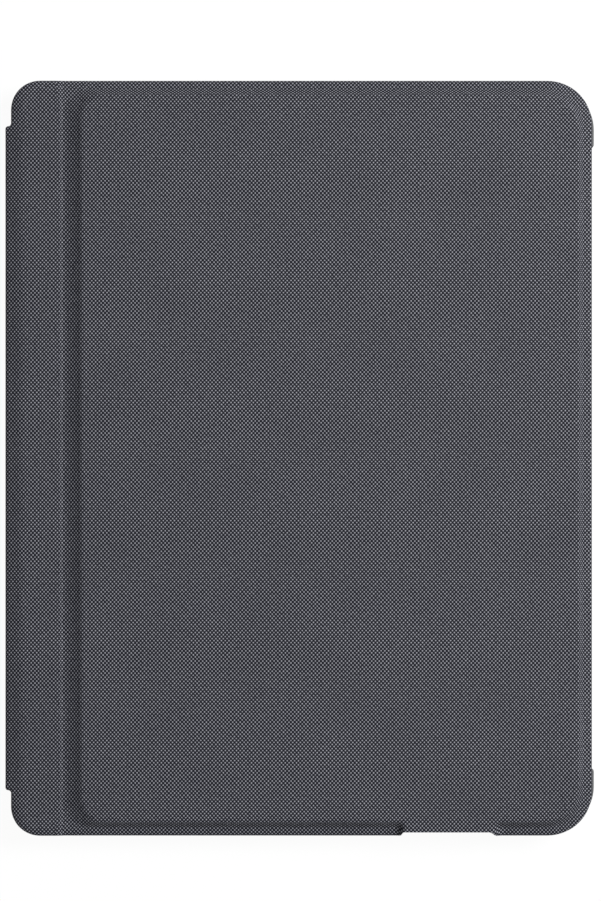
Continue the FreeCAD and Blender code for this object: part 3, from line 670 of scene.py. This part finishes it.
def round_loop(x_low, x_high, y_low, y_high, radii):
    """Closed row of points round a rectangle, with a radius for each corner."""
    loop = []
    places = ((x_low, y_low, 180.0), (x_high, y_low, 270.0), (x_high, y_high, 0.0), (x_low, y_high, 90.0))
    for (x, y, first), radius in zip(places, radii):
        middle_x = x + radius if x == x_low else x - radius
        middle_y = y + radius if y == y_low else y - radius
        loop += [spot for spot, out in round_corner(middle_x, middle_y, radius, first, first + 90.0, 12)]
    return loop


camera_loop = round_loop(0.0724, 0.1054, 0.1026, 0.1356, (0.009,) * 4)
back_loop = round_loop(0.0047, 0.1096, -0.1398, 0.1398, (0.0003, 0.0134, 0.0134, 0.0003))
upper_back = flat_sheet("upper_back_cloth", [back_loop, camera_loop], 0.0, cloth_thickness, cover_cloth)
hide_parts("upper_back_fabric")
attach(upper_back, "shell")

stand_loop = [spot for spot, out in round_corner(-0.0872, 0.0, 0.0090, 63.6, -63.6, 24)]
stand_loop += round_loop(-0.0832, 0.0022, -0.1370, 0.1370, (0.0030, 0.0003, 0.0003, 0.0030))
stand_cloth = flat_sheet("kickstand_cloth", [stand_loop], 0.0, cloth_thickness, cover_cloth)
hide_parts("kickstand_fabric")
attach(stand_cloth, "kickstand")


# Lining: thin grey microfibre inside the cover, in the tablet pocket and across the inner folds.
# It is bonded to the boards and tray.
def microfibre(name, colour):
    material, start = new_material(name)
    place = start.node("ShaderNodeTexCoord", {}, {}, 3)
    nap = place.noise(3000.0, 4.0)
    brushed = place.noise(140.0, 4.0)
    shade = (nap * 0.88 + brushed * 0.12).step(0.3, 0.7)
    return surface(material, start, Base_Color=shade.mix(shaded(colour, 0.7), shaded(colour, 1.25)),
                   Roughness=0.95 - shade * 0.08, Normal=nap.bump(0.00008, 0.7), Specular_IOR_Level=0.15,
                   Sheen_Weight=0.25, Sheen_Roughness=0.4)


lining_look = microfibre("grey_microfibre", (0.055, 0.056, 0.060))


def profile_sheet(name, profile, half_length, thickness, look):
    """Cloth that runs straight along the case and follows a profile across it; x, z and a cut at each end."""
    points = []
    places = []
    stations = [part / 4.0 - 1.0 for part in range(9)]
    for part in stations:
        flat = 0.0
        for number, (x, z, cut) in enumerate(profile):
            if number:
                flat += math.hypot(x - profile[number - 1][0], z - profile[number - 1][1])
            y = (half_length - cut) * part
            points.append((x, y, z))
            places.append((flat, y))
    faces = grid_faces(len(stations), len(profile))
    made = make_mesh(name, points, faces, look, places)
    thicken(made, thickness)
    return made


pocket_loop = round_loop(-0.1049, 0.1102, -0.1404, 0.1404, (0.0141,) * 4)
pocket = flat_sheet("pocket_lining_cloth", [pocket_loop, camera_loop], 0.0043, 0.0048, lining_look)
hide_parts("pocket_lining")
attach(pocket, "shell")

deck_loop = round_loop(-0.09035, 0.1115, -0.1443, 0.1443, (0.0003, 0.0163, 0.0163, 0.0003))
corner_spots = 13
notch_loop = ((0.0382, -0.1443), (0.0390, -0.1434), (0.0729, -0.1434), (0.0757, -0.1443))
deck_loop[corner_spots:corner_spots] = [Vector((x, y, 0.0)) for x, y in notch_loop]
key_frame_loop = round_loop(-0.0877, 0.1031, -0.1362, 0.1362, (0.0062,) * 4)
deck_sheet = flat_sheet("deck_lining_cloth", [deck_loop, key_frame_loop], 0.0126, 0.0131, lining_look)
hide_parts("deck_lining")
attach(deck_sheet, "keyboard_deck")

strip_lining = profile_sheet("strip_lining_cloth", [
    (-0.1089, 0.0126, 0.0038), (-0.1083, 0.0126, 0.0027), (-0.1073, 0.0126, 0.0013), (-0.1058, 0.0126, 0.0004),
    (-0.1040, 0.0126, 0.0), (-0.0930, 0.0126, 0.0), (-0.0924, 0.01262, 0.0), (-0.0918, 0.0127, 0.0),
    (-0.0912, 0.01274, 0.0), (-0.0908, 0.01272, 0.0), (-0.09035, 0.0126, 0.0)], 0.1425, 0.0005, lining_look)
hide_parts("strip_lining")
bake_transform(strip_lining)

spine_lining = profile_sheet("spine_lining_cloth", [
    (-0.1109, 0.0042, 0.0), (-0.1109, 0.0080, 0.0), (-0.1109, 0.0112, 0.0), (-0.1108, 0.0119, 0.0),
    (-0.1105, 0.01235, 0.0), (-0.1100, 0.0126, 0.0), (-0.1094, 0.0126, 0.0), (-0.1089, 0.0126, 0.0)],
    0.1256, 0.0004, lining_look)
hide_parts("spine_lining")
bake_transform(spine_lining)

# Keys: moulded charcoal caps with a shallow dish, one group to a row, on domes and scissor levers.
# They face the tablet while the case is shut; +Y is at the user's left. Legends are plain print.
key_unit = 0.0185
keys_half = 0.134125
half_gap = 0.001295
cap_base = 0.0133
cap_face = 0.0118
print_level = 0.01178
support_low = 0.01335
support_high = 0.0149
arrow_upper_end = 0.0132
arrow_lower_start = 0.0158
cap_look = moulded("key_plastic", (0.020, 0.020, 0.022), 0.55, 6500.0, 0.000015)
dome_look = moulded("dome_silicone", (0.240, 0.235, 0.225), 0.60, 3200.0, 0.00002)
print_look = moulded("key_print", (0.56, 0.57, 0.58), 0.60, 3000.0, 0.000005)


def add_cap(points, faces, x_low, x_high, y_low, y_high):
    """One cap: a skirt, rounded shoulders and a face that dips a little towards its middle."""
    small = min(1.0, min(x_high - x_low, y_high - y_low) / 0.014)
    rings = []
    for inset, z in ((0.0, cap_base), (0.0, 0.0129), (0.00012, 0.0123), (0.00028, 0.0120), (0.0005, 0.01186),
                     (0.0008, cap_face), (0.0016, 0.01182), (0.0030, 0.01187)):
        inset *= small
        loop = round_loop(x_low + inset, x_high - inset, y_low + inset, y_high - inset,
                          (max(0.0016 * small - 0.4 * inset, 0.0004),) * 4)
        rings.append([Vector((spot.x, spot.y, z)) for spot in loop[::2]])
    first = len(points)
    turn = len(rings[0])
    for ring in rings:
        points += ring
    faces += ring_faces(first, turn, len(rings))
    faces.append(tuple(range(first, first + turn)))
    faces.append(tuple(range(len(points) - 1, len(points) - 1 - turn, -1)))


def add_support(points, faces, x_low, x_high, y_low, y_high):
    """Silicone dome with a scissor lever on each side of it, between a cap and the membrane."""
    x, y = (x_low + x_high) / 2.0, (y_low + y_high) / 2.0
    reach = min(0.0070, x_high - x_low - 0.0008) / 2.0
    wide = min(0.0026, reach)
    profile = ((0.35, support_low), (0.52, support_low + 0.00008), (0.58, support_low + 0.0004), (0.72, 0.01425),
               (0.90, 0.01462), (1.0, support_high))
    first = len(points)
    for share, z in profile:
        points += [spot + Vector((0.0, 0.0, z)) for spot, out in round_corner(x, y, wide * share, 0.0, 337.5, 15)]
    faces += ring_faces(first, 16, len(profile), flip=True)
    faces.append(tuple(range(first + 15, first - 1, -1)))
    faces.append(tuple(range(len(points) - 16, len(points))))
    rise = (support_high - support_low - 0.0005) * 0.45
    for side in (-1.0, 1.0):
        first = len(points)
        for along in (-1.0, 1.0):
            for across, up in ((-0.0005, -0.00015), (-0.0004, -0.00025), (0.0004, -0.00025), (0.0005, -0.00015),
                               (0.0005, 0.00015), (0.0004, 0.00025), (-0.0004, 0.00025), (-0.0005, 0.00015)):
                points.append(Vector((x + reach * along, y + side * 0.0042 + across,
                                      (support_low + support_high) / 2.0 + side * rise * along + up)))
        faces += ring_faces(first, 8, 2)
        faces.append(tuple(range(first, first + 8)))
        faces.append(tuple(range(first + 15, first + 7, -1)))


def add_print(points, faces, text, size, x, y):
    """Flat letters on a cap's face, upright for a user who sits on the trackpad's side."""
    letters = bpy.data.curves.new("letters", "FONT")
    letters.body = text
    letters.size = size
    letters.align_x = "CENTER"
    letters.align_y = "CENTER"
    holder = bpy.data.objects.new("letters", letters)
    bpy.context.scene.collection.objects.link(holder)
    only(holder)
    bpy.ops.object.convert(target="CURVE")
    loops = []
    for spline in holder.data.splines:
        knots = list(spline.bezier_points)
        loop = []
        for knot, after in zip(knots, knots[1:] + knots[:1]):
            loop += interpolate_bezier(knot.co, knot.handle_right, after.handle_left, after.co, 5)[:-1]
        turned = sum(a.x * b.y - b.x * a.y for a, b in zip(loop, loop[1:] + loop[:1]))
        loops.append((turned, loop))
    bpy.data.objects.remove(holder)
    outer = max(loops, key=lambda item: abs(item[0]))[0]
    for turned, loop in loops:
        if turned * outer < 0.0:
            continue
        group = [loop]
        for other_turn, other in loops:
            spot = other[0]
            crossed = [a for a, b in zip(loop, loop[1:] + loop[:1]) if (a.y > spot.y) != (b.y > spot.y)
                       and spot.x < a.x + (spot.y - a.y) * (b.x - a.x) / (b.y - a.y)]
            if other_turn * outer < 0.0 and len(crossed) % 2:
                group.append(other)
        flat = [spot for part in group for spot in part]
        first = len(points)
        points += [Vector((x - spot.y, y - spot.x, print_level)) for spot in flat]
        for a, b, c in tessellate_polygon(group):
            up = (flat[b] - flat[a]).cross(flat[c] - flat[a]).z > 0.0
            faces.append((first + a, first + b, first + c) if up else (first + a, first + c, first + b))


def add_arrow(points, faces, x, y, way):
    """Small triangle on an arrow key."""
    reach = 0.0011
    turn = {"left": 90.0, "right": -90.0, "up": 180.0, "down": 0.0}[way]
    first = len(points)
    for corner in (0.0, 120.0, 240.0):
        angle = math.radians(turn + corner)
        points.append(Vector((x + reach * math.cos(angle), y + reach * math.sin(angle), print_level)))
    faces.append((first, first + 2, first + 1))


def add_bar(points, faces, x, y):
    """Short bar printed on the keys where the forefingers rest."""
    first = len(points)
    for side_x, side_y in ((-0.00018, -0.0018), (0.00018, -0.0018), (0.00018, 0.0018), (-0.00018, 0.0018)):
        points.append(Vector((x + side_x, y + side_y, print_level)))
    faces.append((first + 3, first + 2, first + 1, first))


key_rows = [("function_keys", -0.0757, -0.0678, [14.5 / 14.0] * 14,
             ["esc"] + ["F%d" % number for number in range(1, 13)] + ["del"]),
            ("number_keys", -0.0652, -0.0498, [1.0] * 13 + [1.5], list("`1234567890-=") + ["back"]),
            ("upper_letter_keys", -0.0472, -0.0318, [1.5] + [1.0] * 13, ["tab"] + list("QWERTYUIOP[]") + ["\\"]),
            ("home_keys", -0.0292, -0.0138, [1.75] + [1.0] * 11 + [1.75],
             ["caps"] + list("ASDFGHJKL;'") + ["enter"]),
            ("lower_letter_keys", -0.0112, 0.0042, [2.25] + [1.0] * 10 + [2.25],
             ["shift"] + list("ZXCVBNM,./") + ["shift"]),
            ("modifier_keys", 0.0068, 0.0222, [1.0, 1.0, 1.0, 1.25, -5.0, 1.25, 1.0],
             ["fn", "ctrl", "alt", "sym", "", "alt", "ctrl"]),
            ("space_bar", 0.0068, 0.0222, [-4.25, 5.0], ["", ""]),
            ("arrow_keys", 0.0068, 0.0222, [-11.5, 1.0, 1.0, 1.0], ["", "left", "up", "right"])]
for group, x_low, x_high, widths, legends in key_rows:
    cap_points, cap_faces, print_points, print_faces, dome_points, dome_faces = [], [], [], [], [], []
    y = keys_half
    for width, legend in zip(widths, legends):
        y_high = y - half_gap
        y -= abs(width) * key_unit
        y_low = y + half_gap
        middle = (y_low + y_high) / 2.0
        if width < 0.0:
            continue
        spans = [(x_low, x_high, legend)]
        if group == "arrow_keys":
            spans = [(arrow_lower_start, x_high, "down" if legend == "up" else legend)]
            if legend == "up":
                spans.append((x_low, arrow_upper_end, legend))
        for low, high, mark in spans:
            add_cap(cap_points, cap_faces, low, high, y_low, y_high)
            add_support(dome_points, dome_faces, low, high, y_low, y_high)
            if group == "arrow_keys":
                add_arrow(print_points, print_faces, (low + high) / 2.0, middle, mark)
            elif mark:
                size = 0.0050 if len(mark) == 1 else 0.0036
                add_print(print_points, print_faces, mark, size, (low + high) / 2.0, middle)
            if mark in ("F", "J"):
                add_bar(print_points, print_faces, high - 0.0034, middle)
    caps = make_mesh(group + "_caps", cap_points, cap_faces, cap_look)
    crisp(caps, 50.0)
    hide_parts(group)
    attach(caps, group)
    supports = group.replace("_keys", "").replace("_bar", "") + "_supports"
    domes = make_mesh(supports + "_soft", dome_points, dome_faces, dome_look)
    crisp(domes, 50.0)
    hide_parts(supports)
    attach(domes, "keyboard_deck")
    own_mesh(domes)
    if print_points:
        marks = make_mesh(group + "_legends", print_points, print_faces, print_look)
        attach(marks, group)


# Plastic and rubber mouldings that stay as the CAD makes them: the shell's back, the keyboard tray and
# frame, soft pads, the button cap and the slide switch.
def dress(look, *names):
    for name in names:
        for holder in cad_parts[name].material_slots:
            holder.material = look


dress(moulded("shell_polycarbonate", (0.030, 0.030, 0.033), 0.50, 4200.0, 0.00002), "shell_back", "anchor_bar")
dress(moulded("tray_plastic", (0.034, 0.034, 0.037), 0.52, 4200.0, 0.00002), "deck_tray")
dress(moulded("key_frame_plastic", (0.046, 0.046, 0.050), 0.58, 5200.0, 0.00002), "key_frame")
pad_look = moulded("pad_rubber", (0.022, 0.022, 0.024), 0.78, 2600.0, 0.00003)
dress(pad_look, "kickstand_foot")
dress(bumper_look, "power_button")
dress(moulded("switch_plastic", (0.120, 0.121, 0.126), 0.45, 5200.0, 0.000015), "power_switch")
satin_look = moulded("trackpad_satin", (0.060, 0.060, 0.064), 0.34, 9000.0, 0.000006, Coat_Weight=0.15)
dress(satin_look, "trackpad_surface")
dress(moulded("membrane_film", (0.30, 0.30, 0.31), 0.30, 1800.0, 0.00001), "membrane")


# Metal pieces: the kickstand's anodised plate, its steel hinge units, the keys' steel backing plate, the
# springs, screws and nickel-plated magnets. Rolled or drawn metal, so its finish runs one way.
def metal(name, colour, rough, drawn):
    material, start = new_material(name)
    place = start.node("ShaderNodeTexCoord", {}, {}, 3)
    lines = start.node("ShaderNodeMapping", {}, {"Vector": place, "Scale": drawn}).noise(1500.0, 3.0)
    wear = place.noise(110.0, 4.0)
    shade = wear.mix(shaded(colour, 0.82), shaded(colour, 1.0))
    return surface(material, start, Base_Color=shade, Metallic=1.0, Roughness=lines * 0.24 + (rough - 0.12),
                   Normal=lines.bump(0.00001, 0.4))


dress(metal("anodised_aluminium", (0.110, 0.111, 0.117), 0.42, (1.0, 0.03, 1.0)), "kickstand_plate")
steel = metal("hinge_steel", (0.560, 0.560, 0.570), 0.34, (1.0, 0.05, 1.0))
dress(steel, "hinge_leaves", "hinge_brackets", "hinge_pins", "key_backplate", "trackpad_springs", "usb_c_socket")
dress(metal("switch_can", (0.300, 0.300, 0.305), 0.36, (1.0, 1.0, 1.0)), "click_switch")
dress(metal("nickel_plate", (0.620, 0.605, 0.580), 0.26, (1.0, 1.0, 1.0)), "closure_magnets")


# Small turned pieces on the keyboard's face: socket-head screws that hold the key frame to the tray's
# bosses, and domed rubber pads, bonded on, that keep the keys off the tablet's screen.
def turned(name, places, profile, look, node, slot):
    """Round pieces of one profile, one at each place."""
    around = 24
    points = []
    faces = []
    for x, y in places:
        first = len(points)
        for radius, z, sides in profile:
            for part in range(around):
                degrees = 360.0 * part / around
                angle = math.radians(degrees)
                fold = math.radians(degrees % 60.0 - 30.0)
                reach = radius / math.cos(fold) if sides == 6 else radius
                points.append(Vector((x + reach * math.cos(angle), y + reach * math.sin(angle), z)))
        faces += ring_faces(first, around, len(profile), flip=True)
        faces.append(tuple(range(first + around - 1, first - 1, -1)))
        faces.append(tuple(range(len(points) - around, len(points))))
    made = make_mesh(name, points, faces, look)
    crisp(made, 35.0)
    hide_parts(node)
    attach(made, "keyboard_deck")


# Each profile runs from the face inwards: radius, height, and 6 where the outline is a hexagon.
screw_places = [(-0.0800, y) for y in (-0.1100, -0.0370, 0.0370, 0.1100)]
screw_places += [(0.0278, -0.0620), (0.0278, 0.0620), (0.0993, -0.0850), (0.0993, 0.0850)]
screw_profile = ((0.00045, 0.0130, 6), (0.00050, 0.01268, 6), (0.00056, 0.01264, 6), (0.0011, 0.01264, 0),
                 (0.00130, 0.01272, 0), (0.0014, 0.0129, 0), (0.0014, 0.0132, 0), (0.0007, 0.0132, 0),
                 (0.0007, 0.0155, 0))
screw_look = metal("blackened_screws", (0.070, 0.070, 0.074), 0.42, (1.0, 1.0, 1.0))
turned("frame_screws", screw_places, screw_profile, screw_look, "deck_screws", "hinge_steel")
pad_places = [(x, y) for x in (-0.0835, 0.0989) for y in (-0.1320, 0.0, 0.1320)]
pad_profile = ((0.0005, 0.0116, 0), (0.0010, 0.01162, 0), (0.0014, 0.0117, 0), (0.0017, 0.01185, 0),
               (0.0019, 0.0121, 0), (0.0020, 0.0124, 0), (0.0020, 0.0126, 0))
turned("rubber_pads", pad_places, pad_profile, pad_look, "screen_pads", "foot_rubber")


# Boards and cells: grey fibre stiffeners in the spine and strip, green circuit boards, the amber flat
# cable that crosses them, and silver laminate pouches round the cells. Bonded inside the tray.
def board(name, base, line, pitch):
    material, start = new_material(name)
    place = start.node("ShaderNodeTexCoord", {}, {}, 3)
    split = start.node("ShaderNodeSeparateXYZ", {}, {"Vector": place})
    patch = place.noise(170.0, 1.0).step(0.48, 0.52)
    across = (split * (math.pi / pitch)).sine()
    along = (Value(start.tree, split.socket.node.outputs[1]) * (math.pi / pitch)).sine()
    track = (across * patch + along * (1.0 - patch)).step(0.72, 0.86)
    grain = place.noise(2600.0, 3.0)
    return surface(material, start, Base_Color=track.mix(shaded(base, 1.0), shaded(line, 1.0)),
                   Roughness=grain * 0.2 + 0.32, Normal=(track + grain * 0.2).bump(0.00002, 0.6))


circuit_look = board("green_circuit_board", (0.010, 0.052, 0.030), (0.022, 0.110, 0.060), 0.0009)
dress(circuit_look, "main_board", "trackpad_board")
dress(board("amber_flat_cable", (0.210, 0.090, 0.016), (0.400, 0.190, 0.050), 0.0006), "flex_cable")
dress(moulded("fibre_board", (0.140, 0.135, 0.128), 0.85, 900.0, 0.00006), "spine_board", "strip_board")
dress(moulded("silver_pouch", (0.520, 0.520, 0.530), 0.38, 420.0, 0.00012, Metallic=0.85), "battery_cells")
dress(moulded("milky_light_pipe", (0.640, 0.650, 0.660), 0.30, 5200.0, 0.000005, Coat_Weight=0.3), "status_light")
